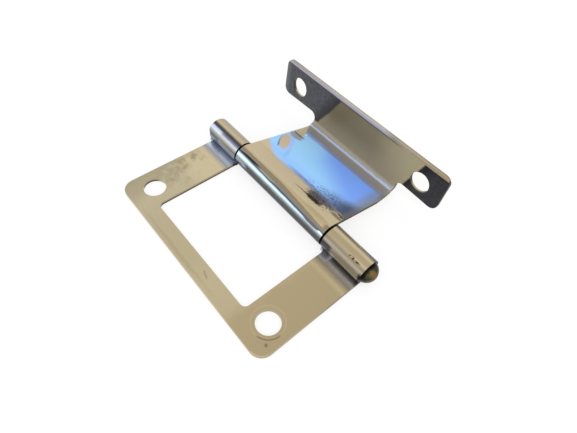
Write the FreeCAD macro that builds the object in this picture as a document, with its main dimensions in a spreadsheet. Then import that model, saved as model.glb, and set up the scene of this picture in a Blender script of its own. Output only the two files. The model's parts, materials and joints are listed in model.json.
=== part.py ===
import FreeCAD, Part
import Sketcher
import math
import os

# Flap hinge: a flat window leaf and a cranked leaf, both pressed from thin sheet, on one pin.
# Frame: the origin lies midway between the window leaf's screw holes, on its underside.
# The pin runs along Y, the cranked leaf lies towards +X, and +Z is up.

doc = FreeCAD.newDocument("flap_hinge")
sizes = doc.addObject("Spreadsheet::Sheet", "Sizes")

# Driving dimensions in millimetres and degrees.
# Near is the side towards -Y, where the pin's head is, and far is the side towards +Y.
DRIVING_SIZES = {
    # the sheet and the rolled knuckles
    "sheet": 0.9,
    "pin_diameter": 3.8,
    "running_clearance": 0.03,
    "roll_opening": 50,
    "edge_rounding": 0.15,
    # the window leaf: an arm at each end of the window, each with its own knuckle
    "leaf_length": 50,
    "edge_margin": 5.85,
    "pin_distance": 21.1,
    "corner_radius": 2.8,
    "bar_width": 4.0,
    "arm_near": 9.7,
    "arm_far": 9.5,
    "window_corner": 1.2,
    "throat_width": 2.4,
    "throat_radius": 0.9,
    "far_overhang": 1.0,
    "far_end_rounding": 0.4,
    "screw_inset": 4.8,
    "screw_hole": 5.0,
    "rim_width": 0.8,
    "rim_depth": 0.06,
    # how far the arms' knuckles reach past the window's ends, and the gaps to the middle knuckle
    "knuckle_reach_near": 0.95,
    "knuckle_reach_far": 0.15,
    "knuckle_gap_near": 0.55,
    "knuckle_gap_far": 0.5,
    # the cranked leaf: a flat plate, a gentle rise at its end, then the sharp bend
    "plate_run": 17.85,
    "far_extra_run": 0.42,
    "rise_radius": 13.0,
    "rise_turn": 14,
    "bend_radius": 1.0,
    "bend_turn": 86,
    "taper_run": 2.5,
    "taper_reach": 4.5,
    "taper_near": 0.7,
    "taper_far": 0.15,
    "neck_inset": 0.7,
    "neck_overhang": 0.35,
    # the cranked leaf's flange, with heights measured from the end of the bend
    "tab_near": 10.75,
    "tab_far": 12.4,
    "tab_radius": 1.8,
    "tab_rise": 1.4,
    "relief_rise": 1.75,
    "notch_radius": 1.5,
    "flange_rise": 10.95,
    "flange_hole": 4.95,
    "flange_hole_rise": 5.45,
    "hole_inset_near": 5.95,
    "hole_inset_far": 5.5,
    # the pin
    "head_radius": 2.45,
    "head_height": 2.0,
    "peen_radius": 2.2,
    "peen_height": 0.4,
}

for row, (alias, number) in enumerate(DRIVING_SIZES.items(), start=1):
    sizes.set(f"A{row}", alias.replace("_", " "))
    sizes.set(f"B{row}", str(number))
    sizes.setAlias(f"B{row}", alias)
doc.recompute()

# A knuckle's bore leaves the running clearance round the pin, and its outside is one sheet larger.
BORE_RADIUS = "pin_diameter/2 + running_clearance"
KNUCKLE_RADIUS = "pin_diameter/2 + running_clearance + sheet"
ORIGIN = (-1, 1)
SKETCH_AXES = (-1, -2)
X_AXIS, Y_AXIS = SKETCH_AXES
SKETCH_NORMAL = FreeCAD.Vector(0, 0, 1)


def size(name):
    """Value of one driving dimension."""
    return float(sizes.get(name))


def total(terms):
    """Value of a sum of sheet names, such as 'pin_distance - bar_width' or '- leaf_length/2'."""
    result = 0.0
    sign = 1
    for word in terms.split():
        if word in ("+", "-"):
            sign = 1 if word == "+" else -1
        else:
            name, _, divisor = word.partition("/")
            result += sign * size(name) / float(divisor or 1)
    return result


def formula(terms):
    """The same sum as an expression on the sheet."""
    words = [word if word in ("+", "-") else "Sizes." + word for word in terms.split()]
    return " ".join(words)


def negated(terms):
    """The same sum with all its signs turned round."""
    signs = {"+": "-", "-": "+"}
    words = [signs.get(word, word) for word in terms.split()]
    return "- " + " ".join(words)


# Distances along the pin from the middle of the window leaf, each measured outwards
LEAF_END = "leaf_length/2"
WINDOW_NEAR = LEAF_END + " - arm_near"
WINDOW_FAR = LEAF_END + " - arm_far"
OUTER_NEAR_START = WINDOW_NEAR + " - knuckle_reach_near"
OUTER_FAR_START = WINDOW_FAR + " - knuckle_reach_far"
OUTER_FAR_END = LEAF_END + " + far_overhang"
MIDDLE_NEAR = OUTER_NEAR_START + " - knuckle_gap_near"
MIDDLE_FAR = OUTER_FAR_START + " - knuckle_gap_far"
NECK_NEAR = MIDDLE_NEAR + " - neck_inset"
NECK_FAR = MIDDLE_FAR + " + neck_overhang"
FLANGE_NEAR = NECK_NEAR + " + tab_near"
FLANGE_FAR = NECK_FAR + " + tab_far"

# The flat part of the cranked leaf's plate, from the pin's axis, at its near and far sides
RUN_NEAR = "plate_run"
RUN_FAR = "plate_run + far_extra_run"


def new_body(name):
    """A body whose label names its file."""
    body = doc.addObject("PartDesign::Body", name)
    body.Label = name
    return body


def new_sketch(body, name, plane="XY_Plane", offset=FreeCAD.Placement()):
    """A sketch on one of the body's own origin planes, moved by an offset in that plane's frame."""
    sketch = body.newObject("Sketcher::SketchObject", name)
    support = next(feature for feature in body.Origin.OriginFeatures if feature.Role == plane)
    sketch.AttachmentSupport = [(support, "")]
    sketch.MapMode = "FlatFace"
    sketch.AttachmentOffset = offset
    return sketch


def bind(sketch, kind, *references, terms):
    """A dimension whose value is a sum of sheet names."""
    index = sketch.addConstraint(Sketcher.Constraint(kind, *references, total(terms)))
    sketch.setExpression(f"Constraints[{index}]", formula(terms))


def place_point(sketch, edge, end, x_terms, y_terms):
    """Pins one end of an edge at sheet-driven coordinates; None keeps that coordinate at zero."""
    for kind, axis, terms in (("DistanceX", Y_AXIS, x_terms), ("DistanceY", X_AXIS, y_terms)):
        if terms is None:
            sketch.addConstraint(Sketcher.Constraint("PointOnObject", edge, end, axis))
        else:
            bind(sketch, kind, *ORIGIN, edge, end, terms=terms)


def point_at(x_terms, y_terms):
    """The point that place_point pins an end to."""
    x = 0 if x_terms is None else total(x_terms)
    y = 0 if y_terms is None else total(y_terms)
    return FreeCAD.Vector(x, y, 0)


def polygon(sketch, corners):
    """A closed outline through corners that are each a pair of sums of sheet names."""
    points = [point_at(x, y) for x, y in corners]
    count = len(points)
    for index in range(count):
        sketch.addGeometry(Part.LineSegment(points[index], points[(index + 1) % count]), False)
    for index, (x, y) in enumerate(corners):
        sketch.addConstraint(Sketcher.Constraint("Coincident", index, 2, (index + 1) % count, 1))
        place_point(sketch, index, 1, x, y)


def rectangle(sketch, left, right, low, high):
    """A rectangle between sheet-driven sides."""
    polygon(sketch, [(left, low), (right, low), (right, high), (left, high)])


def circle(sketch, x_terms, y_terms, diameter):
    """A circle at sheet-driven coordinates."""
    round_edge = Part.Circle(point_at(x_terms, y_terms), SKETCH_NORMAL, size(diameter) / 2)
    edge = sketch.addGeometry(round_edge, False)
    bind(sketch, "Diameter", edge, terms=diameter)
    place_point(sketch, edge, 3, x_terms, y_terms)


def rolled_section(sketch, side, run_terms):
    """Section across the pin: the sheet rolled round it, and the flat that leaves it at a tangent.

    Side +1 has the flat at the top, running towards +X. Side -1 is the same section turned
    half round: the flat at the bottom, running towards -X.
    """
    outside = total(KNUCKLE_RADIUS)
    inside = total(BORE_RADIUS)
    run = total(run_terms)
    centre = FreeCAD.Vector(0, 0, 0)
    roll_start = side * math.radians(90)
    roll_end = roll_start + math.radians(360 - size("roll_opening"))
    along_end = FreeCAD.Vector(math.cos(roll_end), math.sin(roll_end), 0)
    outer_start = FreeCAD.Vector(0, side * outside, 0)
    outer_end = FreeCAD.Vector(side * run, side * outside, 0)
    inner_end = FreeCAD.Vector(side * run, side * inside, 0)
    inner_start = FreeCAD.Vector(0, side * inside, 0)
    shapes = [
        Part.ArcOfCircle(Part.Circle(centre, SKETCH_NORMAL, outside), roll_start, roll_end),
        Part.ArcOfCircle(Part.Circle(centre, SKETCH_NORMAL, inside), roll_start, roll_end),
        Part.LineSegment(outer_start, outer_end),
        Part.LineSegment(outer_end, inner_end),
        Part.LineSegment(inner_end, inner_start),
        Part.LineSegment(along_end * outside, along_end * inside),
    ]
    outer_arc, inner_arc, outer_flat, flat_end, inner_flat, roll_cap = sketch.addGeometry(shapes, False)
    spoke = sketch.addGeometry(Part.LineSegment(centre, along_end * inside), True)
    joins = [
        (outer_arc, 1, outer_flat, 1),
        (outer_flat, 2, flat_end, 1),
        (flat_end, 2, inner_flat, 1),
        (inner_flat, 2, inner_arc, 1),
        (outer_arc, 2, roll_cap, 1),
        (inner_arc, 2, roll_cap, 2),
        (spoke, 2, roll_cap, 2),
        (outer_arc, 3, *ORIGIN),
        (inner_arc, 3, *ORIGIN),
        (spoke, 1, *ORIGIN),
    ]
    for join in joins:
        sketch.addConstraint(Sketcher.Constraint("Coincident", *join))
    sketch.addConstraint(Sketcher.Constraint("Parallel", spoke, roll_cap))
    sketch.addConstraint(Sketcher.Constraint("Horizontal", outer_flat))
    sketch.addConstraint(Sketcher.Constraint("Horizontal", inner_flat))
    sketch.addConstraint(Sketcher.Constraint("Vertical", flat_end))
    sketch.addConstraint(Sketcher.Constraint("PointOnObject", outer_flat, 1, Y_AXIS))
    sketch.addConstraint(Sketcher.Constraint("PointOnObject", inner_flat, 2, Y_AXIS))
    bind(sketch, "Radius", outer_arc, terms=KNUCKLE_RADIUS)
    bind(sketch, "Radius", inner_arc, terms=BORE_RADIUS)
    bind(sketch, "Distance", outer_flat, terms=run_terms)
    # The spoke's angle is a quarter turn from the flat's tangent, less the opening of the roll.
    spoke_angle = side * 90 - size("roll_opening")
    angle = sketch.addConstraint(Sketcher.Constraint("Angle", spoke, math.radians(spoke_angle)))
    sketch.setExpression(f"Constraints[{angle}]", f"{side * 90} - Sizes.roll_opening")


def pad(body, sketch, name, near_terms, far_terms=None):
    """Pad along the sketch's normal, and against it too where far_terms is given."""
    feature = body.newObject("PartDesign::Pad", name)
    feature.Profile = sketch
    feature.setExpression("Length", formula(near_terms))
    if far_terms is not None:
        feature.SideType = "Two sides"
        feature.setExpression("Length2", formula(far_terms))
    doc.recompute()
    return feature


def pocket_through(body, sketch, name):
    """Pocket through everything, both ways from the sketch."""
    before = body.Tip.Shape.Volume
    feature = body.newObject("PartDesign::Pocket", name)
    feature.Profile = sketch
    feature.SideType = "Symmetric"
    feature.Type = "ThroughAll"
    doc.recompute()
    check_cut(feature, before)


def pocket_up(body, sketch, name, depth_terms):
    """Pocket from the sketch to a height above it."""
    before = body.Tip.Shape.Volume
    feature = body.newObject("PartDesign::Pocket", name)
    feature.Profile = sketch
    feature.Reversed = True
    feature.setExpression("Length", formula(depth_terms))
    doc.recompute()
    check_cut(feature, before)


def check_cut(feature, volume_before):
    """A cut that points away from the solid takes nothing away and shows no error."""
    if feature.Shape.Volume > volume_before - 1e-3:
        raise RuntimeError(feature.Name + " cuts nothing")


def edges_where(shape, wanted):
    """Names of the edges whose middle point and direction pass a test."""
    names = []
    for number, edge in enumerate(shape.Edges, start=1):
        middle = edge.valueAt((edge.FirstParameter + edge.LastParameter) / 2)
        if wanted(edge, middle):
            names.append(f"Edge{number}")
    return names


def upright(direction):
    """A test for straight edges along a direction."""
    def test(edge):
        ends = [vertex.Point for vertex in edge.Vertexes]
        if len(ends) != 2 or not isinstance(edge.Curve, (Part.Line, Part.LineSegment)):
            return False
        return (ends[1] - ends[0]).normalize().cross(direction).Length < 1e-4
    return test


def fillet(body, name, radius_terms, wanted):
    """Rounds the edges that pass a test."""
    base = body.Tip
    feature = body.newObject("PartDesign::Fillet", name)
    feature.Base = (base, edges_where(base.Shape, wanted))
    feature.setExpression("Radius", formula(radius_terms))
    doc.recompute()
    return feature


def coined_rims(body, name, hole, width_terms, depth_terms, height_terms):
    """A shallow cone round each hole, sunk into the face at a height."""
    base = body.Tip
    radius = size(hole) / 2
    height = total(height_terms)
    rims = edges_where(
        base.Shape,
        lambda edge, middle: isinstance(edge.Curve, Part.Circle)
        and abs(edge.Curve.Radius - radius) < 1e-6 and abs(middle.z - height) < 1e-6,
    )
    feature = body.newObject("PartDesign::Chamfer", name)
    feature.Base = (base, rims)
    feature.ChamferType = "Two distances"
    feature.setExpression("Size", formula(depth_terms))
    feature.setExpression("Size2", formula(width_terms))
    doc.recompute()
    return feature


def near_points(points, reach=0.05):
    """A test for a middle point that lies beside one of some points in plan, in the body's frame."""
    def test(middle):
        return any(math.hypot(middle.x - x, middle.y - y) < reach for x, y in points)
    return test


# The window leaf

frame_leaf = new_body("frame_leaf")
knuckle_offset = FreeCAD.Placement(
    FreeCAD.Vector(size("pin_distance"), total(KNUCKLE_RADIUS), 0), FreeCAD.Rotation()
)
leaf_section = new_sketch(frame_leaf, "leaf_section", "XZ_Plane", knuckle_offset)
leaf_section.setExpression("AttachmentOffset.Base.x", formula("pin_distance"))
leaf_section.setExpression("AttachmentOffset.Base.y", formula(KNUCKLE_RADIUS))
rolled_section(leaf_section, -1, "pin_distance + edge_margin")
pad(frame_leaf, leaf_section, "rolled_leaf", LEAF_END, OUTER_FAR_END)

BAR_EDGE = "- edge_margin + bar_width"
THROAT = "pin_distance - throat_width"
BEFORE_KNUCKLE = "pin_distance - pin_diameter - sheet"
BEYOND_KNUCKLE = "pin_distance + pin_diameter + sheet"

window = new_sketch(frame_leaf, "window_outline")
rectangle(window, BAR_EDGE, THROAT, negated(WINDOW_NEAR), WINDOW_FAR)
pocket_up(frame_leaf, window, "window_cut", "sheet + running_clearance")

middle_gap = new_sketch(frame_leaf, "middle_gap_outline")
rectangle(middle_gap, BEFORE_KNUCKLE, BEYOND_KNUCKLE, negated(OUTER_NEAR_START), OUTER_FAR_START)
pocket_through(frame_leaf, middle_gap, "middle_gap_cut")

BEYOND_EDGE = "- edge_margin - sheet"
far_trim = new_sketch(frame_leaf, "far_arm_outline")
rectangle(far_trim, BEYOND_EDGE, THROAT, LEAF_END, OUTER_FAR_END + " + sheet")
pocket_through(frame_leaf, far_trim, "far_arm_cut")

screw_holes = new_sketch(frame_leaf, "screw_hole_outline")
circle(screw_holes, None, negated(LEAF_END) + " + screw_inset", "screw_hole")
circle(screw_holes, None, LEAF_END + " - screw_inset", "screw_hole")
pocket_through(frame_leaf, screw_holes, "screw_hole_cut")

vertical = upright(FreeCAD.Vector(0, 0, 1))
outer_corners = near_points([
    (-size("edge_margin"), -total(LEAF_END)),
    (-size("edge_margin"), total(LEAF_END)),
])
fillet(frame_leaf, "outer_corner_rounding", "corner_radius", lambda e, m: vertical(e) and outer_corners(m))
window_corners = near_points([
    (total(BAR_EDGE), -total(WINDOW_NEAR)),
    (total(BAR_EDGE), total(WINDOW_FAR)),
])
fillet(frame_leaf, "window_corner_rounding", "window_corner", lambda e, m: vertical(e) and window_corners(m))
throat_corner = near_points([(total(THROAT), -total(WINDOW_NEAR))])
fillet(frame_leaf, "throat_rounding", "throat_radius", lambda e, m: vertical(e) and throat_corner(m))

coined_rims(frame_leaf, "screw_rim", "screw_hole", "rim_width", "rim_depth", "sheet")


def far_end_rim(edge, middle):
    """The outside edge of the far knuckle's end."""
    outside = abs(math.hypot(middle.x - size("pin_distance"), middle.z - total(KNUCKLE_RADIUS)))
    return abs(middle.y - total(OUTER_FAR_END)) < 1e-6 and abs(outside - total(KNUCKLE_RADIUS)) < 1e-3


def upper_outline(edge, middle):
    """The upper edges of the flat sheet, but not the closed ones round the screw holes."""
    on_top = abs(middle.z - size("sheet")) < 1e-4 and middle.x < total(THROAT)
    return on_top and not edge.isClosed()


fillet(frame_leaf, "far_end_rounding", "far_end_rounding", far_end_rim)
fillet(frame_leaf, "leaf_edge_rounding", "edge_rounding", upper_outline)


# The cranked leaf, in its own frame: the origin on the pin's axis, +X along the plate


def rise_frame():
    """Frame of the gentle rise: its origin and X axis on the rise's axis, Y up and Z along the plate.

    The plate is a little longer on its far side, so rise and bend lie slightly askew to the pin.
    """
    width = total(MIDDLE_NEAR) + total(MIDDLE_FAR)
    skew = math.atan2(size("far_extra_run"), width)
    run = total(RUN_NEAR) + math.tan(skew) * total(MIDDLE_NEAR)
    origin = FreeCAD.Vector(run, 0, total(KNUCKLE_RADIUS) + size("rise_radius"))
    along_bend = FreeCAD.Vector(math.sin(skew), math.cos(skew), 0)
    up = FreeCAD.Vector(0, 0, 1)
    return FreeCAD.Placement(origin, FreeCAD.Rotation(along_bend, up, along_bend.cross(up), "XYZ"))


def curled(frame, turn, shift):
    """A frame turned about its own X axis by a curl's angle, then moved along its new Y axis."""
    turned = frame.multiply(FreeCAD.Placement(
        FreeCAD.Vector(0, 0, 0), FreeCAD.Rotation(FreeCAD.Vector(1, 0, 0), -size(turn))
    ))
    return turned.multiply(FreeCAD.Placement(FreeCAD.Vector(0, shift, 0), FreeCAD.Rotation()))


def bend_frame():
    """Frame of the sharp bend, which starts where the rise ends."""
    return curled(rise_frame(), "rise_turn", size("bend_radius") - size("rise_radius"))


def flange_frame():
    """Frame of the flange: its origin at the end of the bend on the inner face, X along the bend,
    Y up the flange and Z through the sheet to its back."""
    face = FreeCAD.Rotation(FreeCAD.Vector(1, 0, 0), FreeCAD.Vector(0, 0, 1), FreeCAD.Vector(0, -1, 0), "XYZ")
    bend_end = curled(bend_frame(), "bend_turn", -size("bend_radius"))
    return bend_end.multiply(FreeCAD.Placement(FreeCAD.Vector(0, 0, 0), face))


def curl(name, frame, turn, radius, near, far):
    """Carries the sheet on round an arc, upwards from where the frame starts."""
    section = new_sketch(cranked_leaf, name + "_section", "XY_Plane", frame)
    rectangle(section, near, far, f"- {radius} - sheet", f"- {radius}")
    feature = cranked_leaf.newObject("PartDesign::Revolution", name)
    feature.Profile = section
    feature.ReferenceAxis = (section, ["H_Axis"])
    feature.Reversed = True
    feature.setExpression("Angle", formula(turn))
    doc.recompute()


cranked_leaf = new_body("cranked_leaf")
plate_section = new_sketch(cranked_leaf, "plate_section", "XZ_Plane")
rolled_section(plate_section, 1, RUN_FAR)
pad(cranked_leaf, plate_section, "rolled_plate", MIDDLE_NEAR, MIDDLE_FAR)

skew_trim = new_sketch(cranked_leaf, "skew_trim_outline")
polygon(skew_trim, [
    (RUN_NEAR, negated(MIDDLE_NEAR)),
    (RUN_FAR, MIDDLE_FAR),
    (RUN_FAR + " + sheet", MIDDLE_FAR),
    (RUN_FAR + " + sheet", negated(MIDDLE_NEAR)),
])
pocket_through(cranked_leaf, skew_trim, "skew_trim_cut")

# The rise starts a little wider than the plate, and both sides are then trimmed to a slight taper
curl(
    "rise", rise_frame(), "rise_turn", "rise_radius",
    negated(MIDDLE_NEAR) + " - sheet/2", MIDDLE_FAR + " + sheet/2",
)
near_taper = new_sketch(cranked_leaf, "near_taper_outline")
polygon(near_taper, [
    (RUN_NEAR + " - taper_run", negated(MIDDLE_NEAR)),
    (RUN_NEAR + " + taper_reach", negated(MIDDLE_NEAR) + " + taper_near"),
    (RUN_NEAR + " + taper_reach", negated(MIDDLE_NEAR) + " - sheet"),
    (RUN_NEAR + " - taper_run", negated(MIDDLE_NEAR) + " - sheet"),
])
pocket_through(cranked_leaf, near_taper, "near_taper_cut")
far_taper = new_sketch(cranked_leaf, "far_taper_outline")
polygon(far_taper, [
    (RUN_FAR + " - taper_run", MIDDLE_FAR),
    (RUN_FAR + " - taper_run", MIDDLE_FAR + " + sheet"),
    (RUN_FAR + " + taper_reach", MIDDLE_FAR + " + sheet"),
    (RUN_FAR + " + taper_reach", MIDDLE_FAR + " - taper_far"),
])
pocket_through(cranked_leaf, far_taper, "far_taper_cut")

curl("bend", bend_frame(), "bend_turn", "bend_radius", negated(NECK_NEAR), NECK_FAR)

flange_outline = new_sketch(cranked_leaf, "flange_outline", "XY_Plane", flange_frame())
polygon(flange_outline, [
    (negated(NECK_NEAR), None),
    (NECK_FAR, None),
    (NECK_FAR, "relief_rise"),
    (FLANGE_FAR, "tab_rise"),
    (FLANGE_FAR, "flange_rise"),
    (negated(FLANGE_NEAR), "flange_rise"),
    (negated(FLANGE_NEAR), "tab_rise"),
    (negated(NECK_NEAR), "relief_rise"),
])
circle(flange_outline, negated(FLANGE_NEAR) + " + hole_inset_near", "flange_hole_rise", "flange_hole")
circle(flange_outline, FLANGE_FAR + " - hole_inset_far", "flange_hole_rise", "flange_hole")
pad(cranked_leaf, flange_outline, "flange", "sheet")


def flange_corners(places):
    """A test for the edges through the flange's sheet at some corners of its outline."""
    frame = flange_frame()
    through = upright(frame.Rotation.multVec(FreeCAD.Vector(0, 0, 1)))
    middles = [frame.multVec(FreeCAD.Vector(total(x), total(y), size("sheet") / 2)) for x, y in places]

    def test(edge, middle):
        return through(edge) and any((middle - corner).Length < 0.05 for corner in middles)
    return test


tab_corners = [
    (side, rise)
    for side in (negated(FLANGE_NEAR), FLANGE_FAR)
    for rise in ("tab_rise", "flange_rise")
]
notch_corners = [(negated(NECK_NEAR), "relief_rise"), (NECK_FAR, "relief_rise")]


def flange_outlines(edge, middle):
    """The edges round the flange on both its faces, but not the closed ones of the screw holes."""
    place = flange_frame().inverse().multVec(middle)
    on_a_face = min(abs(place.z), abs(place.z - size("sheet"))) < 1e-4
    return on_a_face and place.y > size("sheet") / 100 and not edge.isClosed()


fillet(cranked_leaf, "tab_rounding", "tab_radius", flange_corners(tab_corners))
fillet(cranked_leaf, "notch_rounding", "notch_radius", flange_corners(notch_corners))
fillet(cranked_leaf, "flange_edge_rounding", "edge_rounding", flange_outlines)


def rest_tilt():
    """Angle in degrees by which the plate slopes down until its bend touches the leaf's floor."""
    frame = bend_frame()
    lowest_axis = frame.multVec(FreeCAD.Vector(total(NECK_FAR), 0, 0))
    reach = math.hypot(lowest_axis.x, lowest_axis.z)
    drop = total(KNUCKLE_RADIUS) - size("bend_radius") - size("sheet")
    return math.degrees(math.asin(drop / reach) + math.atan2(lowest_axis.z, lowest_axis.x))


cranked_leaf.Placement = FreeCAD.Placement(
    FreeCAD.Vector(size("pin_distance"), 0, total(KNUCKLE_RADIUS)),
    FreeCAD.Rotation(FreeCAD.Vector(0, 1, 0), rest_tilt()),
)

# The pin, turned about its own axis

hinge_pin = new_body("hinge_pin")
pin_outline = new_sketch(hinge_pin, "pin_outline")


def dome(rim, top):
    """An arc centred on the pin's axis, counter-clockwise between a rim and the middle of a dome."""
    rise = top.y - rim.y
    radius = (rim.x ** 2 + rise ** 2) / abs(2 * rise)
    centre = FreeCAD.Vector(0, top.y - math.copysign(radius, rise), 0)
    rim_angle = math.atan2(rim.y - centre.y, rim.x)
    if rise > 0:
        return Part.ArcOfCircle(Part.Circle(centre, SKETCH_NORMAL, radius), rim_angle, math.radians(90))
    return Part.ArcOfCircle(Part.Circle(centre, SKETCH_NORMAL, radius), math.radians(-90), rim_angle)


def pin_section(sketch):
    """Half of the pin's section: the domed head, the shank and the flatter peened end."""
    corners = [
        ("head_radius", negated(LEAF_END)),
        ("pin_diameter/2", negated(LEAF_END)),
        ("pin_diameter/2", OUTER_FAR_END),
        ("peen_radius", OUTER_FAR_END),
        (None, OUTER_FAR_END + " + peen_height"),
        (None, negated(LEAF_END) + " - head_height"),
    ]
    head_rim, shank_start, shank_end, peen_rim, peen_top, head_top = [point_at(*corner) for corner in corners]
    sketch.addGeometry([
        Part.LineSegment(head_rim, shank_start),
        Part.LineSegment(shank_start, shank_end),
        Part.LineSegment(shank_end, peen_rim),
        dome(peen_rim, peen_top),
        Part.LineSegment(peen_top, head_top),
        dome(head_rim, head_top),
    ], False)
    peen = 3
    head = 5
    for edge, corner in enumerate(corners):
        place_point(sketch, edge, 1, *corner)
        sketch.addConstraint(Sketcher.Constraint("Coincident", edge, 2, (edge + 1) % len(corners), 1))
    for arc in (peen, head):
        sketch.addConstraint(Sketcher.Constraint("PointOnObject", arc, 3, Y_AXIS))


pin_section(pin_outline)
turned_pin = hinge_pin.newObject("PartDesign::Revolution", "turned_pin")
turned_pin.Profile = pin_outline
turned_pin.ReferenceAxis = (pin_outline, ["V_Axis"])
turned_pin.Angle = 360
hinge_pin.Placement.Base = FreeCAD.Vector(size("pin_distance"), 0, total(KNUCKLE_RADIUS))
doc.recompute()

# Everything is checked before it is written
for item in doc.Objects:
    if "Invalid" in item.State or "Error" in item.State:
        raise RuntimeError(item.Name + " failed: " + ", ".join(item.State))

os.makedirs("parts", exist_ok=True)
for body in (frame_leaf, cranked_leaf, hinge_pin):
    if body.Shape.isNull() or not body.Shape.isValid():
        raise RuntimeError(body.Label + " has no valid shape")
    body.Shape.exportStep(f"parts/{body.Label}.step")
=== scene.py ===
import json
import math

import bpy
from mathutils import Matrix, Vector

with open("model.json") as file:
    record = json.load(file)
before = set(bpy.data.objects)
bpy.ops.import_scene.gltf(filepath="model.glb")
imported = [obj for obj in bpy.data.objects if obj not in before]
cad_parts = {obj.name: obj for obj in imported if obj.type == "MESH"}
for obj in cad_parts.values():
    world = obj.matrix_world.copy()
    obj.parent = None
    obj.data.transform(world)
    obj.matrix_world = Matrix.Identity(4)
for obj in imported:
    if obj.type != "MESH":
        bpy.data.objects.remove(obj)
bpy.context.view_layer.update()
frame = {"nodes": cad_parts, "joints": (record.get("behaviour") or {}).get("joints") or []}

# Flap hinge of bright plated steel: a window leaf, a cranked leaf and a dark bronzed pin.
# Lengths in this script are millimetres, unless a name ends in _m or _M.

MM = 0.001

# Places on the object, in the part's own frame: the origin between the screw holes of the window
# leaf, the pin along Y, the cranked leaf towards +X.
SWING = frame["joints"][0]
PIN_AXIS = Vector(SWING["pos_m"]) / MM
KNUCKLE_RADIUS = PIN_AXIS.z
SHEET = 0.9
HOLE_SPACING = 40.4
RIM_RADIUS = 3.3
RIM_LINE = 0.2
PLATE_TILT = math.radians(13.65)
BEND_SKEW = math.radians(0.84)
PLATE_RUN = 18.05
RISE_RADIUS = 13.0
RISE_TURN = math.radians(14)
BEND_RADIUS = 1.0
FLANGE_TURN = math.radians(100)

# Sizes of the patterns in the metal. Real plating grain and rolling lines are a few hundredths of a
# millimetre wide, too fine to show here, so these two are drawn as coarse as they need to show.
ROLLING_LINE_WIDTH = 1 / 4
ROLLING_LINE_LENGTH = 25 / 3
PLATING_GRAIN = 1 / 5
SHEET_WAVES = 25 / 4
STAIN_CLOUDS = 2.2
STAIN_SPECKS = 1 / 3
WORN_PITS = 5 / 11
TAB_MOTTLE = 10 / 9
PIN_SPECKLE = 5 / 7

# Sheen of the metals: clean bright plate, plate that mirrors something soft, and the bronzed pin. The tint
# dims the sheen where the photo's metal mirrors something dark.
CLEAN_METALLIC, CLEAN_ROUGHNESS = 0.85, 0.24
SOFT_METALLIC, SOFT_ROUGHNESS = 0.1, 0.38
PIN_METALLIC, PIN_ROUGHNESS = 1.0, 0.32
FULL_SHEEN, DIM_SHEEN = "#FFFFFF", "#BCBCBC"


def hex_colour(text):
    """An sRGB hex value as a linear colour."""
    values = [int(text[i:i + 2], 16) / 255 for i in (1, 3, 5)]
    return (*[v / 12.92 if v <= 0.04045 else ((v + 0.055) / 1.055) ** 2.4 for v in values], 1.0)


def add(tree, kind, inputs=(), **settings):
    """Adds a shader node. Inputs maps a socket's name or number to a value or to another node's output."""
    made = tree.nodes.new("ShaderNode" + kind)
    for name, value in settings.items():
        setattr(made, name, value)
    for socket, value in dict(inputs).items():
        if isinstance(value, bpy.types.NodeSocket):
            tree.links.new(value, made.inputs[socket])
        else:
            made.inputs[socket].default_value = value
    return made


# Frames that patterns are laid out in, as turn and origin: a point in the part's frame is
# turn @ local + origin, in millimetres.

def plate_frame():
    """The plate: X from the pin along the plate, Y along the pin, Z up from the pin's axis."""
    return Matrix.Rotation(PLATE_TILT, 3, "Y"), PIN_AXIS


def flange_frame():
    """The flange: X up the flange from the bend, Y along the bend, Z from its inner face to its outer one.

    The sheet rises round one arc and then bends round a second, so the inner face starts at the rise's
    centre plus the way down at each arc's end times that arc's radius."""
    plate_turn, plate_origin = plate_frame()
    askew = plate_turn @ Matrix.Rotation(-BEND_SKEW, 3, "Z")
    rise_centre = plate_turn @ Vector((PLATE_RUN, 0, KNUCKLE_RADIUS + RISE_RADIUS)) + plate_origin
    rise_end = askew @ Vector((math.sin(RISE_TURN), 0, -math.cos(RISE_TURN)))
    outward = askew @ Vector((math.sin(FLANGE_TURN), 0, -math.cos(FLANGE_TURN)))
    start = rise_centre + rise_end * (RISE_RADIUS - BEND_RADIUS) + outward * BEND_RADIUS
    return askew @ Matrix.Rotation(-FLANGE_TURN, 3, "Y") @ Matrix.Diagonal((1, 1, -1)), start


def local_place(tree, turn, origin):
    """Object coordinates in millimetres in a frame: the inverse of its turn and origin, as mappings."""
    mirrored = turn.determinant() < 0
    back = turn.transposed()
    if mirrored:
        back = Matrix.Diagonal((1, 1, -1)) @ back
    place = add(tree, "Mapping", {
        "Vector": add(tree, "TexCoord").outputs["Object"],
        "Location": -(back @ origin),
        "Rotation": back.to_euler(),
        "Scale": (1 / MM, 1 / MM, 1 / MM),
    }).outputs[0]
    if mirrored:
        return add(tree, "Mapping", {"Vector": place, "Scale": (1, 1, -1)}).outputs[0]
    return place


def spot(tree, place, centre, radii, turn=0.0, soft=0.5):
    """A mask that is 1 inside an ellipse in X and Y and fades to 0 over a share of its radii.

    The place is centred, turned back and divided by the radii, and its length in the plane is the
    ellipse's own radius. The huge radius in Z leaves the height out. A negative soft turns the mask
    inside out."""
    own = add(tree, "Mapping", {
        "Vector": place,
        "Location": (*centre, 0),
        "Rotation": (0, 0, math.radians(turn)),
        "Scale": (*radii, 1e6),
    }, vector_type="TEXTURE").outputs[0]
    reach = add(tree, "VectorMath", {0: own}, operation="LENGTH").outputs["Value"]
    return edge(tree, reach, 1 + soft / 2, 1 - soft / 2)


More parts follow.
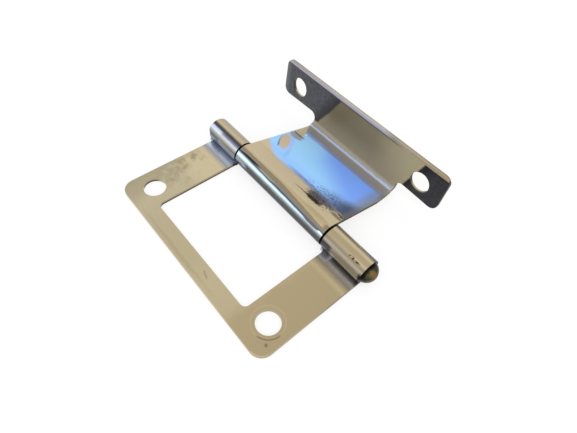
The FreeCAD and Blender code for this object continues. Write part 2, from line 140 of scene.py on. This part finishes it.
def beyond(tree, place, point, heading, soft):
    """A mask that rises from 0 to 1 across a line through a point. The heading, in degrees from X,
    crosses the line, and a heading turned by 180 degrees gives the other side."""
    own = add(tree, "Mapping", {
        "Vector": place,
        "Location": (*point, 0),
        "Rotation": (0, 0, math.radians(heading)),
    }, vector_type="TEXTURE").outputs[0]
    return edge(tree, add(tree, "SeparateXYZ", {0: own}).outputs["X"], -soft / 2, soft / 2)


def edge(tree, value, start, end):
    """A mask that rises smoothly from 0 at start to 1 at end."""
    return add(tree, "MapRange", {"Value": value, "From Min": start, "From Max": end},
               interpolation_type="SMOOTHSTEP").outputs[0]


def both(tree, *masks):
    """Where all masks are 1."""
    result = masks[0]
    for mask in masks[1:]:
        result = add(tree, "Math", {0: result, 1: mask}, operation="MULTIPLY").outputs[0]
    return result


def wash(tree, below, tone, mask, strength=1.0):
    """Lays a tone over a colour where a mask is 1."""
    if strength != 1.0:
        mask = add(tree, "Math", {0: mask, 1: strength}, operation="MULTIPLY").outputs[0]
    above = hex_colour(tone) if isinstance(tone, str) else tone
    return add(tree, "Mix", {0: mask, 6: below, 7: above}, data_type="RGBA").outputs[2]


def washes(tree, below, *layers):
    """Lays tones over a colour one after another. A layer is a tone, a mask and perhaps a strength."""
    for layer in layers:
        below = wash(tree, below, *layer)
    return below


def tones(tree, value, stops):
    """Colours along a value: each stop is a value and a hex colour, and the end colours run on."""
    start, end = stops[0][0], stops[-1][0]
    share = add(tree, "MapRange", {"Value": value, "From Min": start, "From Max": end}).outputs[0]
    ramp = add(tree, "ValToRGB", {0: share})
    elements = ramp.color_ramp.elements
    elements.remove(elements[1])
    for index, (at, tone) in enumerate(stops):
        position = (at - start) / (end - start)
        stop = elements[0] if index == 0 else elements.new(position)
        stop.position = position
        stop.color = hex_colour(tone)
    return ramp.outputs[0]


def new_material(name):
    """An empty material, its node tree and its shader."""
    material = bpy.data.materials.new(name)
    material.use_nodes = True
    tree = material.node_tree
    tree.nodes.clear()
    shader = tree.nodes.new("ShaderNodeBsdfPrincipled")
    output = tree.nodes.new("ShaderNodeOutputMaterial")
    tree.links.new(shader.outputs[0], output.inputs[0])
    return material, tree, shader


def wandering(tree, place, size, reach):
    """The place, moved about by noise of a size in millimetres, so that the edges of stains wander."""
    noise = add(tree, "TexNoise", {"Vector": place, "Scale": 1 / size, "Detail": 3.0, "Roughness": 0.6})
    centred = add(tree, "VectorMath", {0: noise.outputs["Color"], 1: (0.5, 0.5, 0.5)}, operation="SUBTRACT")
    moved = add(tree, "VectorMath", {0: centred.outputs[0], 3: 2 * reach}, operation="SCALE")
    return add(tree, "VectorMath", {0: place, 1: moved.outputs[0]}, operation="ADD").outputs[0]


def sheet_surface(tree, place, shader):
    """Relief of rolled and plated sheet: a slow unevenness, the plating's grain and faint rolling lines."""
    across, along = 1 / ROLLING_LINE_WIDTH, 1 / ROLLING_LINE_LENGTH
    lines = add(tree, "Mapping", {"Vector": place, "Scale": (across, along, across)}).outputs[0]
    rolled = add(tree, "TexNoise", {"Vector": lines, "Scale": 1.0, "Detail": 4.0, "Roughness": 0.65}).outputs[0]
    grain = add(tree, "TexNoise", {"Vector": place, "Scale": 1 / PLATING_GRAIN, "Detail": 3.0}).outputs[0]
    waves = add(tree, "TexNoise", {"Vector": place, "Scale": 1 / SHEET_WAVES, "Detail": 1.0}).outputs[0]
    slow = add(tree, "Bump", {"Height": waves, "Strength": 1.0, "Distance": 0.10 * MM}).outputs[0]
    fine = add(tree, "Bump", {
        "Height": grain, "Strength": 0.35, "Distance": 0.004 * MM, "Normal": slow}).outputs[0]
    drawn = add(tree, "Bump", {
        "Height": rolled, "Strength": 0.35, "Distance": 0.006 * MM, "Normal": fine}).outputs[0]
    tree.links.new(drawn, shader.inputs["Normal"])


def round_pin(tree, place):
    """A place rolled out flat round the pin. Its X is the angle in degrees, from the top towards the window
    leaf, and its Y is the length along the pin. The angle and the length are also given by themselves."""
    x, length, z = add(tree, "SeparateXYZ", {0: place}).outputs
    across = add(tree, "Math", {0: PIN_AXIS.x, 1: x}, operation="SUBTRACT").outputs[0]
    above = add(tree, "Math", {0: z, 1: PIN_AXIS.z}, operation="SUBTRACT").outputs[0]
    turned = add(tree, "Math", {0: across, 1: above}, operation="ARCTAN2").outputs[0]
    angle = add(tree, "Math", {0: turned}, operation="DEGREES").outputs[0]
    return add(tree, "CombineXYZ", {0: angle, 1: length}).outputs[0], angle, length


def sheared_sides(tree):
    """The sheet's cut faces that look along the pin, by the size of the own normal's Y."""
    normal = add(tree, "TexCoord").outputs["Normal"]
    along = add(tree, "SeparateXYZ", {0: normal}).outputs["Y"]
    size = add(tree, "Math", {0: along}, operation="ABSOLUTE").outputs[0]
    return edge(tree, size, 0.55, 0.85)


# Pressed steel sheet with bright zinc plate and a clear passivate, as on small cabinet hardware. It mirrors
# what is round it a little softly, in a warm khaki. The slate and pale blue where the sheet curls down, and the
# light and dark bands on the knuckles, flange and plate, are painted reflections, highlights and shade.
# The cut faces, with hardly any plate on them, are dull: khaki on the window leaf and dark elsewhere.

def window_leaf_steel():
    material, tree, shader = new_material("bright_plated_steel_window_leaf")
    place = local_place(tree, Matrix.Identity(3), Vector((0, 0, 0)))
    sheet_surface(tree, place, shader)
    uneven = wandering(tree, place, 2.5, 0.6)
    ragged = wandering(tree, place, 1.0, 0.12)
    x, y, z = add(tree, "SeparateXYZ", {0: place}).outputs
    uneven_y = add(tree, "SeparateXYZ", {0: uneven}).outputs["Y"]
    ragged_x = add(tree, "SeparateXYZ", {0: ragged}).outputs["X"]
    drifting_y = add(tree, "SeparateXYZ", {0: wandering(tree, place, 7.0, 3.0)}).outputs["Y"]
    near_arm = edge(tree, y, 2, -2)
    far_arm = edge(tree, y, -2, 2)

    # The flat leaf: browner at the near arm, paler at the far arm beside the pin
    colour = tones(tree, drifting_y, [
        (-24, "#AA9A77"), (-16.5, "#AD9D7B"), (-13, "#BAAC8A"), (-6, "#BCAF8D"), (0, "#B7AA88"),
        (12, "#B8AB8E"), (17, "#BCB092"), (22, "#ADA285"), (25, "#A79D80"),
    ])
    colour = wash(tree, colour, "#C9BB98", spot(tree, uneven, (12.5, 19.5), (4.5, 6.5), 0, 1.2))

    # Stains and a scratch: each has a centre, radii, a turn in degrees, a tone and a strength
    for centre, radii, turn, tone, strength in (
        ((-4.9, 3.0), (0.35, 12.0), 0, "#857A5C", 0.2),
        ((11.7, 22.9), (1.3, 0.7), 60, "#87785C", 0.5),
        ((6.0, 20.6), (3.6, 1.1), 10, "#9A8B6D", 0.2),
        ((-3.5, -5.0), (0.17, 1.1), -24, "#8B7D60", 0.5),
        ((-3.0, -23.2), (0.3, 0.4), 0, "#5F4E36", 0.6),
    ):
        colour = wash(tree, colour, tone, spot(tree, uneven, centre, radii, turn, 1.0), strength)

    # Cloudy stains on the far arm
    clouds = add(tree, "TexNoise", {
        "Vector": place, "Scale": 1 / STAIN_CLOUDS, "Detail": 5.0, "Roughness": 0.65}).outputs[0]
    cloudy = spot(tree, uneven, (7.5, 21.3), (7.0, 3.4), 15, 1.0)
    colour = washes(
        tree, colour,
        ("#8D7E61", both(tree, cloudy, edge(tree, clouds, 0.50, 0.62)), 0.5),
        ("#C6BBA4", both(tree, cloudy, edge(tree, clouds, 0.48, 0.38)), 0.5),
    )

    # The faint outline of the coined rim round each screw hole, a painted highlight, with painted shade on the
    # near side of the near one
    outer, inner = RIM_RADIUS + RIM_LINE / 2, RIM_RADIUS - RIM_LINE / 2
    near_hole, far_hole = -HOLE_SPACING / 2, HOLE_SPACING / 2
    for hole, strength in ((near_hole, 0.22), (far_hole, 0.1)):
        outline = both(tree, spot(tree, place, (0, hole), (outer, outer), 0, 0.06),
                       spot(tree, place, (0, hole), (inner, inner), 0, -0.06))
        colour = wash(tree, colour, "#D0C4A4", outline, strength)
        if hole == near_hole:
            shaded = beyond(tree, place, (-1.55, near_hole - 2.0), -127.5, 0.5)
            colour = wash(tree, colour, "#5A482F", both(tree, outline, shaded), 0.75)

    # A painted reflection of the knuckles: a grey band beside them, brown at the near arm and blue at the far
    # arm, with painted shade in the crease
    near_band = tones(tree, ragged_x, [
        (15, "#B7A884"), (16.5, "#847B67"), (17.4, "#A09D9E"), (18.0, "#625F60"), (18.5, "#474440"),
    ])
    far_band = tones(tree, ragged_x, [
        (15, "#CBBC99"), (16.4, "#99999B"), (17.4, "#CBD5E6"), (18.5, "#A4ACB9"),
    ])
    window_corner = both(
        tree, edge(tree, ragged_x, 16.7, 17.2), edge(tree, uneven_y, -17.9, -17.2),
        edge(tree, z, SHEET + 0.1, SHEET + 0.02), near_arm)
    colour = washes(
        tree, colour,
        (wash(tree, near_band, far_band, far_arm), edge(tree, ragged_x, 13.8, 15.0)),
        # a painted lighter reflection by the window's corner
        ("#C6C4CA", window_corner, 0.7),
    )

    # The knuckles, by the angle round the pin: painted reflections, with painted highlights and painted shade
    # in bands
    barrel, angle, _ = round_pin(tree, ragged)
    near_knuckle = tones(tree, angle, [
        (-50, "#7F7A72"), (-26, "#A69C85"), (-10, "#C7B998"), (4, "#AB9B79"), (24, "#A8997A"),
        (40, "#90866F"), (56, "#A29889"), (70, "#958D7C"), (92, "#CFCABC"),
    ])
    far_knuckle = tones(tree, angle, [
        (-40, "#98907E"), (3, "#C4B596"), (15, "#4A463F"), (23, "#46474F"), (35, "#848DA4"),
        (42, "#C8CFDB"), (56, "#AAA69C"), (69, "#787678"), (81, "#BEC4D2"), (100, "#7C8494"),
    ])
    pits = add(tree, "TexNoise", {"Vector": place, "Scale": 1 / WORN_PITS, "Detail": 4.0}).outputs[0]
    worn = spot(tree, barrel, (32, -22.0), (6, 1.4), 0, 0.8)
    far_end = edge(tree, uneven_y, 21.2, 22.4)
    knuckles = washes(
        tree, near_knuckle,
        (far_knuckle, far_arm),
        ("#2B2214", both(tree, worn, edge(tree, pits, 0.46, 0.52)), 0.95),
        # painted shade on the near knuckle, past its top
        ("#453E33", both(tree, edge(tree, uneven_y, -20.0, -22.0), edge(tree, angle, -26, -38)), 0.9),
        # the far knuckle's end: a painted pale highlight stripe and painted shade in a dark one below it
        ("#DCE8FF", both(tree, far_end, edge(tree, angle, 25, 34), edge(tree, angle, 50, 44)), 0.8),
        ("#4F596E", both(tree, far_end, edge(tree, angle, 67, 73)), 0.9),
        # painted shade on the near knuckle's two ends, low down
        ("#26221B", both(tree, edge(tree, uneven_y, -24.2, -24.9), edge(tree, angle, 48, 74))),
        ("#45454E", both(tree, edge(tree, y, -17.6, -16.4), near_arm, edge(tree, angle, 58, 67))),
    )
    on_barrel = both(tree, edge(tree, x, 18.1, 18.35), edge(tree, z, SHEET + 0.02, SHEET + 0.2))

    # The cut faces: khaki, darker beside the pin at the near arm, and dark in the lower half at the far arm;
    # painted shade at the knuckles' ends
    sheared = sheared_sides(tree)
    lower_half = edge(tree, z, 0.55 * SHEET, 0.45 * SHEET)
    shaded_knuckle_ends = both(tree, sheared, edge(tree, ragged_x, 17.4, 18.2))
    colour = washes(
        tree, colour,
        (knuckles, on_barrel),
        ("#A3967A", sheared, 0.85),
        ("#4A4234", both(tree, sheared, near_arm, edge(tree, ragged_x, 5.0, 12.0)), 0.85),
        ("#3E3226", both(tree, sheared, far_arm, lower_half), 0.9),
        ("#1E1A14", shaded_knuckle_ends, 0.9),
    )

    # Painted shade: the sheen is dimmed at the knuckles' ends
    sheen = wash(tree, hex_colour(FULL_SHEEN), DIM_SHEEN, shaded_knuckle_ends)
    tree.links.new(colour, shader.inputs["Base Color"])
    tree.links.new(sheen, shader.inputs["Specular Tint"])
    shader.inputs["Metallic"].default_value = CLEAN_METALLIC
    shader.inputs["Roughness"].default_value = CLEAN_ROUGHNESS
    return material


def cranked_leaf_steel():
    material, tree, shader = new_material("bright_plated_steel_cranked_leaf")
    place = local_place(tree, Matrix.Identity(3), Vector((0, 0, 0)))
    sheet_surface(tree, place, shader)
    plate = local_place(tree, *plate_frame())
    flange = local_place(tree, *flange_frame())
    uneven = wandering(tree, plate, 2.0, 0.35)
    grainy = wandering(tree, plate, 0.8, 0.5)
    specks = add(tree, "TexNoise", {"Vector": plate, "Scale": 1 / STAIN_SPECKS, "Detail": 3.0}).outputs[0]
    grains = edge(tree, specks, 0.5, 0.6)
    plate_x, _, plate_z = add(tree, "SeparateXYZ", {0: plate}).outputs
    uneven_x, uneven_y, _ = add(tree, "SeparateXYZ", {0: uneven}).outputs
    flange_x, flange_y, flange_z = add(tree, "SeparateXYZ", {0: flange}).outputs
    run = add(tree, "SeparateXYZ", {0: wandering(tree, plate, 3.0, 0.2)}).outputs["X"]
    drifting_y = add(tree, "SeparateXYZ", {0: wandering(tree, place, 7.0, 3.0)}).outputs["Y"]

    # The sheet's inner skin: the plate's upper side and the flange's inner side. All else is plain khaki
    inner_skin = edge(tree, flange_z, 0.5, 0.3)
    upper = both(tree, edge(tree, plate_z, KNUCKLE_RADIUS - 0.35, KNUCKLE_RADIUS - 0.1), inner_skin)
    plain = tones(tree, drifting_y, [
        (-24, "#AA9A77"), (-8, "#BAAD8B"), (6, "#B4A787"), (20, "#BBAE91"), (28, "#A79D80"),
    ])

    # The plate, by the length from the pin: khaki, then painted reflections: the blue patch, a grey band and a
    # painted highlight on the lilac bend
    khaki = "#C3B494"
    base = tones(tree, run, [
        (2, "#C4B697"), (17.0, "#819BD2"), (17.6, "#7E8BAE"), (18.8, "#888588"), (20.5, "#8F8A81"),
        (21.1, "#C3D6FA"), (21.45, "#93959C"), (21.8, "#958C78"),
    ])
    patch = both(
        tree, edge(tree, uneven_x, 3.0, 4.4), edge(tree, run, 17.6, 16.9),
        beyond(tree, uneven, (4.5, 11.0), -28, 0.9), beyond(tree, uneven, (5.0, 13.4), -58, 0.7))
    # The blue patch, a painted reflection, with darker and paler parts painted in
    blue_reflection = washes(
        tree, hex_colour("#9BD2FF"),
        ("#94C6FF", edge(tree, run, 8.0, 5.0)),
        # deeper towards the near end of the bend, palest near its far end
        ("#7AA8FF", beyond(tree, uneven, (13.0, 1.0), -31, 9.0)),
        ("#A4DAFF", spot(tree, uneven, (14.8, 8.6), (4.2, 4.2), 35, 1.5), 0.7),
        ("#8CB9FB", spot(tree, uneven, (6.9, 8.4), (2.0, 0.5), 20, 1.2), 0.7),
        # a dusky rim on the pin's side
        ("#5F7AAE", both(tree, edge(tree, run, 5.1, 4.3), edge(tree, uneven_y, 7, 0)), 0.9),
        # dark and grainy at the near end
        ("#7D94C0", edge(tree, uneven_y, -10.2, -12.2), 0.9),
        ("#5A72A4", spot(tree, grainy, (4.6, -10.4), (3.2, 4.2), 0, 1.4), 0.9),
        ("#3F4E69", spot(tree, grainy, (5.0, -13.4), (3.6, 3.4), 0, 1.1)),
        ("#2E3A55", both(tree, grains, spot(tree, uneven, (4.3, -8.6), (2.8, 6.4), 0, 1.2)), 0.8),
    )
    # A painted dark reflection along the plate's near edge
    near_edge = tones(tree, run, [
        (2.8, "#B5A88C"), (3.6, "#59595C"), (7.0, "#5B5D66"), (10.5, "#80869A"), (15.5, "#868A98"),
        (17.5, "#7D776F"), (21.0, "#A59F90"),
    ])
    deeper = both(tree, edge(tree, uneven_y, 3, 9), edge(tree, run, 18.5, 17.8), edge(tree, run, 16.8, 17.3))
    lower_corner = both(tree, beyond(tree, uneven, (17.2, 12.6), 122, 0.5), edge(tree, run, 14.9, 15.4))
    colour = washes(
        tree, base,
        (khaki, edge(tree, run, 16.0, 15.0)),
        (blue_reflection, patch),
        (near_edge, edge(tree, uneven_y, -12.3, -13.3), 0.9),
        (khaki, edge(tree, run, 3.6, 2.9)),
        # a deeper painted blue reflection near the bend
        ("#8DB0F0", deeper, 0.6),
        # painted reflection of a flange hole: a clear oval, a lilac ring and a dark line on its upper rim
        ("#A9BDF5", spot(tree, uneven, (9.8, 11.9), (3.9, 1.9), 36, 0.3), 0.8),
        ("#46598A", spot(tree, uneven, (8.9, 13.0), (2.2, 0.4), 33, 0.8)),
        ("#C4B596", spot(tree, uneven, (9.7, 12.3), (3.2, 1.25), 36, 0.25)),
        # painted reflection of a clear corner below it, with a grey fold, a dark line and a painted bright
        # highlight
        ("#9A9BA0", spot(tree, uneven, (14.0, 12.9), (1.1, 2.0), 0, 0.5)),
        (khaki, lower_corner),
        ("#565A58", spot(tree, uneven, (15.0, 12.8), (0.3, 1.9), 0, 0.6)),
        ("#E4ECFF", spot(tree, uneven, (16.9, 12.0), (0.35, 0.35), 0, 0.8)),
    )

    # Brown stains between the pin and the patch: a centre, radii, a turn in degrees, a tone and a strength
    for centre, radii, turn, tone, strength in (
        ((2.7, -6.2), (1.1, 2.6), 0, "#56524F", 0.9),
        ((3.4, -7.6), (0.9, 3.8), 0, "#5B5963", 0.9),
        ((2.5, -12.4), (0.5, 1.5), 0, "#6A5F4C", 0.8),
        ((1.5, -3.4), (0.16, 2.8), 3, "#5E543C", 0.9),
        ((1.6, -6.2), (0.6, 2.2), 0, "#231D17", 1.0),
    ):
        colour = wash(tree, colour, tone, spot(tree, grainy, centre, radii, turn, 0.7), strength)
    colour = washes(
        tree, colour,
        ("#3B342E", both(tree, grains, spot(tree, uneven, (2.5, -6.9), (1.4, 3.6), 0, 1.0))),
        ("#4A3F2C", spot(tree, uneven, (3.3, -12.9), (0.22, 1.1), -12, 0.6)),
    )

    # The flange's inner face, painted with its reflections: dark mottled tabs and a khaki middle that dulls
    # towards the far side
    inner = both(tree, inner_skin, edge(tree, flange_z, -0.6, -0.4), edge(tree, flange_x, -0.3, 0.1))
    soft_flange = wandering(tree, flange, 4.0, 0.5)
    soft_y = add(tree, "SeparateXYZ", {0: soft_flange}).outputs["Y"]
    rise = add(tree, "SeparateXYZ", {0: wandering(tree, flange, 3.0, 0.06)}).outputs["X"]
    middle = tones(tree, soft_y, [
        (-14, "#A29672"), (-9, "#9A8B66"), (-4, "#7F704E"), (10, "#63563C"),
    ])
    mottle = add(tree, "TexNoise", {
        "Vector": flange, "Scale": 1 / TAB_MOTTLE, "Detail": 5.0, "Roughness": 0.7}).outputs[0]
    near_tab = tones(tree, mottle, [(0.3, "#131315"), (0.7, "#303034")])
    far_tab = tones(tree, mottle, [(0.3, "#303136"), (0.7, "#515258")])
    near_line = beyond(tree, flange, (5.7, -15.8), -109, 0.5)
    far_line = beyond(tree, soft_flange, (6.0, 10.3), 60, 0.6)
    below_edge = edge(tree, rise, 9.7, 10.05)
    inside_face = washes(
        tree, middle,
        ("#9A9079", edge(tree, flange_x, 6.5, 0.0), 0.75),
        (wash(tree, near_tab, "#15120C", beyond(tree, flange, (5.7, -17.6), 71, 2.5), 0.8), near_line),
        (wash(tree, far_tab, "#232225", beyond(tree, flange, (6.0, 12.6), -120, 3.5), 0.9), far_line),
        ("#66666A", edge(tree, flange_y, 25.5, 27.4), 0.8),
        # painted shade: a dark line just below the top edge, blackest at the near tab
        ("#4B463E", both(tree, below_edge, edge(tree, flange_y, -12, -8)), 0.7),
        ("#120F0A", both(tree, below_edge, near_line), 0.9),
    )

    # The flange's rounded top edge, beige at the near end and lilac-grey further on, with a painted lilac
    # highlight
    lilac = both(
        tree, edge(tree, rise, 10.15, 10.3), edge(tree, rise, 10.75, 10.6), edge(tree, flange_y, -9, -5))
    top_edge = wash(tree, tones(tree, soft_y, [
        (-24, "#94846A"), (-12, "#A0937A"), (-8, "#908676"), (-5, "#ABA69E"), (10, "#A9A299"),
        (26, "#958F88"),
    ]), "#A9A4C0", lilac)

    # The middle knuckle, by the angle round the pin, painted with its reflections: a pale highlight band, dark
    # lines and painted shade below. Its dark lines lean a little along the pin
    barrel, angle, length = round_pin(tree, wandering(tree, place, 3.0, 0.16))
    lean = both(tree, edge(tree, angle, 18, 32), length)
    leaning = add(tree, "Math", {0: lean, 1: 0.5, 2: angle}, operation="MULTIPLY_ADD").outputs[0]
    knuckle_top = tones(tree, leaning, [
        (-12, "#C8B997"), (5, "#B9AB8C"), (9.5, "#8C8167"), (24, "#8D8067"), (35, "#878282"),
        (38.6, "#465160"), (41.8, "#435062"), (47, "#BCD2DF"), (53, "#D8F3FA"),
    ])
    knuckle_side = tones(tree, angle, [
        (48, "#C6DEE6"), (53, "#D5EEF4"), (63, "#96A0A3"), (71, "#646366"), (95, "#26282E"),
        (120, "#4A4C53"),
    ])
    clear_of_end = edge(tree, length, -13.2, -12.4)
    wedge = both(tree, beyond(tree, barrel, (9, 0.5), -123.7, 1.0), edge(tree, angle, 34, 28),
                 edge(tree, angle, -4, 4), clear_of_end)
    grey_patch = both(tree, edge(tree, length, -7.0, -9.0), clear_of_end,
                      spot(tree, barrel, (49, -10.3), (6, 3.0), 0, 0.6))
    far_glint = both(tree, beyond(tree, barrel, (80, 11.2), 90, 1.6), edge(tree, angle, 62, 72),
                     edge(tree, angle, 88, 82))
    knuckle = washes(
        tree, knuckle_top,
        (knuckle_side, edge(tree, angle, 50, 54)),
        # painted reflections: a khaki wedge, a grey patch, a painted highlight spot, a dark spot, pale spots
        # and a pale painted glint low at the far end
        ("#BAA884", wedge),
        ("#606167", grey_patch),
        ("#DCE8F6", spot(tree, barrel, (51.5, -13.1), (4.5, 0.7), 0, 0.7)),
        ("#17130D", spot(tree, barrel, (28.6, 11.0), (4.4, 3.4), 20, 0.5), 0.95),
        ("#AE9E7A", spot(tree, barrel, (0, -9.4), (9, 3.6), 0, 1.0), 0.8),
        ("#B1AB9C", spot(tree, barrel, (33, 5.0), (3.0, 3.0), 0, 0.9), 0.8),
        ("#B0BEE2", far_glint),
    )

    sheared = sheared_sides(tree)
    colour = washes(
        tree, plain,
        (colour, upper),
        (inside_face, inner),
        (top_edge, both(tree, edge(tree, rise, 10.15, 10.4), edge(tree, flange_z, 0.95, 0.8))),
        (knuckle, both(tree, edge(tree, plate_x, 0.6, 0.2), edge(tree, angle, -14, -9))),
        ("#2E2A22", sheared, 0.85),
    )

    # The sheen is dimmed, as painted shade, on the tabs' painted dark reflection and on the cut faces, and soft
    # on the plate and the flange's middle
    tab_lines = add(tree, "Math", {0: near_line, 1: far_line}, operation="MAXIMUM").outputs[0]
    dark = add(tree, "Math", {0: sheared, 1: both(tree, inner, tab_lines)}, operation="MAXIMUM").outputs[0]
    sheen = wash(tree, hex_colour(FULL_SHEEN), DIM_SHEEN, dark)
    on_plate = both(tree, upper, edge(tree, run, 3.2, 4.2))
    on_middle = both(tree, inner, beyond(tree, flange, (5.7, -15.8), 71, 0.5),
                     beyond(tree, soft_flange, (6.0, 10.3), -120, 0.6))
    soft = add(tree, "Math", {0: on_plate, 1: on_middle}, operation="MAXIMUM").outputs[0]
    metal = add(tree, "MapRange", {"Value": soft, "To Min": CLEAN_METALLIC, "To Max": SOFT_METALLIC})
    rough = add(tree, "MapRange", {"Value": soft, "To Min": CLEAN_ROUGHNESS, "To Max": SOFT_ROUGHNESS})
    tree.links.new(colour, shader.inputs["Base Color"])
    tree.links.new(sheen, shader.inputs["Specular Tint"])
    tree.links.new(metal.outputs[0], shader.inputs["Metallic"])
    tree.links.new(rough.outputs[0], shader.inputs["Roughness"])
    return material


# Steel pin with a dark bronzed finish, speckled brown and near black, with a painted warm highlight on the
# domed head and painted shade in a dark ring where the head meets the knuckle.

def bronzed_pin():
    material, tree, shader = new_material("bronzed_steel_pin")
    place = local_place(tree, Matrix.Identity(3), Vector((0, 0, 0)))
    _, y, z = add(tree, "SeparateXYZ", {0: place}).outputs
    speckle = add(tree, "TexNoise", {
        "Vector": place, "Scale": 1 / PIN_SPECKLE, "Detail": 4.0, "Roughness": 0.6}).outputs[0]
    head_highlight = spot(tree, wandering(tree, place, 1.5, 0.3), (20.7, -26.35), (0.65, 0.45), -20, 1.2)
    colour = washes(
        tree, tones(tree, speckle, [(0.35, "#2B2820"), (0.65, "#5A543F")]),
        ("#7F6439", both(tree, head_highlight, edge(tree, z, 2.0, 3.0))),
        ("#15130F", edge(tree, y, -25.9, -25.3)),
    )
    tree.links.new(colour, shader.inputs["Base Color"])
    shader.inputs["Metallic"].default_value = PIN_METALLIC
    shader.inputs["Roughness"].default_value = PIN_ROUGHNESS
    return material


for node, material in (
    ("frame_leaf", window_leaf_steel()),
    ("cranked_leaf", cranked_leaf_steel()),
    ("hinge_pin", bronzed_pin()),
):
    for slot in frame["nodes"][node].material_slots:
        slot.material = material

# The floor, a plain white table

FLOOR_HALF_M = 2.0
FLOOR_DROP_M = 0.00002
TABLE_GLOW_SHARE = 0.75
floor_mesh = bpy.data.meshes.new("floor")
floor_mesh.from_pydata(
    [(-FLOOR_HALF_M, -FLOOR_HALF_M, -FLOOR_DROP_M), (FLOOR_HALF_M, -FLOOR_HALF_M, -FLOOR_DROP_M),
     (FLOOR_HALF_M, FLOOR_HALF_M, -FLOOR_DROP_M), (-FLOOR_HALF_M, FLOOR_HALF_M, -FLOOR_DROP_M)],
    [], [(0, 1, 2, 3)])
floor = bpy.data.objects.new("floor", floor_mesh)
bpy.context.scene.collection.objects.link(floor)


def seen_share(tree):
    """1 for rays from the camera, in reflections and through glass, and 0 for light that falls on surfaces."""
    path = add(tree, "LightPath")
    camera_ray, glossy_ray = path.outputs["Is Camera Ray"], path.outputs["Is Glossy Ray"]
    seen = add(tree, "Math", {0: camera_ray, 1: glossy_ray}, operation="MAXIMUM").outputs[0]
    through = path.outputs["Is Transmission Ray"]
    return add(tree, "Math", {0: seen, 1: through}, operation="MAXIMUM").outputs[0]


def white_table():
    """A matt white table top, kept near white for the camera and in reflections; it still takes shadows."""
    material, tree, shader = new_material("matt_white_table")
    shader.inputs["Base Color"].default_value = hex_colour("#FAFAFA")
    shader.inputs["Roughness"].default_value = 0.9
    shader.inputs["Specular IOR Level"].default_value = 0.0
    share = add(tree, "Math", {0: seen_share(tree), 1: TABLE_GLOW_SHARE}, operation="MULTIPLY")
    glow = add(tree, "Emission", {"Color": (1, 1, 1, 1), "Strength": 1.0})
    mixed = add(tree, "MixShader", {0: share.outputs[0], 1: shader.outputs[0], 2: glow.outputs[0]})
    output = next(node for node in tree.nodes if node.bl_idname == "ShaderNodeOutputMaterial")
    tree.links.new(mixed.outputs[0], output.inputs[0])
    return material


floor_mesh.materials.append(white_table())

# Plain soft studio light: an even white surround and large soft lamps

world = bpy.data.worlds.new("studio")
bpy.context.scene.world = world
world.use_nodes = True
surround = world.node_tree.nodes["Background"]
surround.inputs["Color"].default_value = (1, 1, 1, 1)
LIGHT_STRENGTH, SEEN_STRENGTH = 0.93, 1.0
strength = add(world.node_tree, "MapRange", {
    "Value": seen_share(world.node_tree), "To Min": LIGHT_STRENGTH, "To Max": SEEN_STRENGTH})
world.node_tree.links.new(strength.outputs[0], surround.inputs["Strength"])

LIT_PLACE_M = Vector((0.018, 0, 0.005))


def softbox(name, towards, distance_m, width_m, height_m, radiance):
    """A soft lamp that faces the object. Its power is its radiance times its area times pi."""
    lamp = bpy.data.lights.new(name, "AREA")
    lamp.shape = "RECTANGLE"
    lamp.size = width_m
    lamp.size_y = height_m
    lamp.energy = radiance * width_m * height_m * math.pi
    holder = bpy.data.objects.new(name, lamp)
    direction = Vector(towards).normalized()
    holder.rotation_euler = direction.to_track_quat("Z", "Y").to_euler()
    holder.location = LIT_PLACE_M + direction * distance_m
    bpy.context.scene.collection.objects.link(holder)


softbox("key_softbox", (-0.45, -0.42, 0.78), 0.9, 1.2, 1.1, 0.9)
softbox("left_softbox", (-0.868, 0.412, 0.30), 0.7, 0.5, 0.2, 0.5)

# The camera, at the photograph's viewing angle

IMAGE_WIDTH = 577
FOCAL_PIXELS = 413.1
VIEW_AZIMUTH = math.radians(-45.87)
VIEW_ELEVATION = math.radians(53.76)
VIEW_ROLL = math.radians(6.755)
VIEW_DISTANCE = 89.91
VIEW_TARGET = Vector((18.445, -4.241, 0.9))
SENSOR_WIDTH = 36.0

camera = bpy.data.objects.new("camera", bpy.data.cameras.new("camera"))
bpy.context.scene.collection.objects.link(camera)
bpy.context.scene.camera = camera
camera.data.sensor_width = SENSOR_WIDTH
camera.data.lens = FOCAL_PIXELS / IMAGE_WIDTH * SENSOR_WIDTH
camera.data.clip_start = 0.005
camera.data.clip_end = 20
back = Vector((math.sin(VIEW_AZIMUTH) * math.cos(VIEW_ELEVATION),
               -math.cos(VIEW_AZIMUTH) * math.cos(VIEW_ELEVATION), math.sin(VIEW_ELEVATION)))
level_right = (-back).cross(Vector((0, 0, 1))).normalized()
right = Matrix.Rotation(VIEW_ROLL, 3, back) @ level_right
axes = Matrix((right, back.cross(right), back)).transposed()
camera.matrix_world = Matrix.Translation((VIEW_TARGET + back * VIEW_DISTANCE) * MM) @ axes.to_4x4()

bpy.context.scene.view_settings.view_transform = "Standard"

bpy.context.view_layer.update()
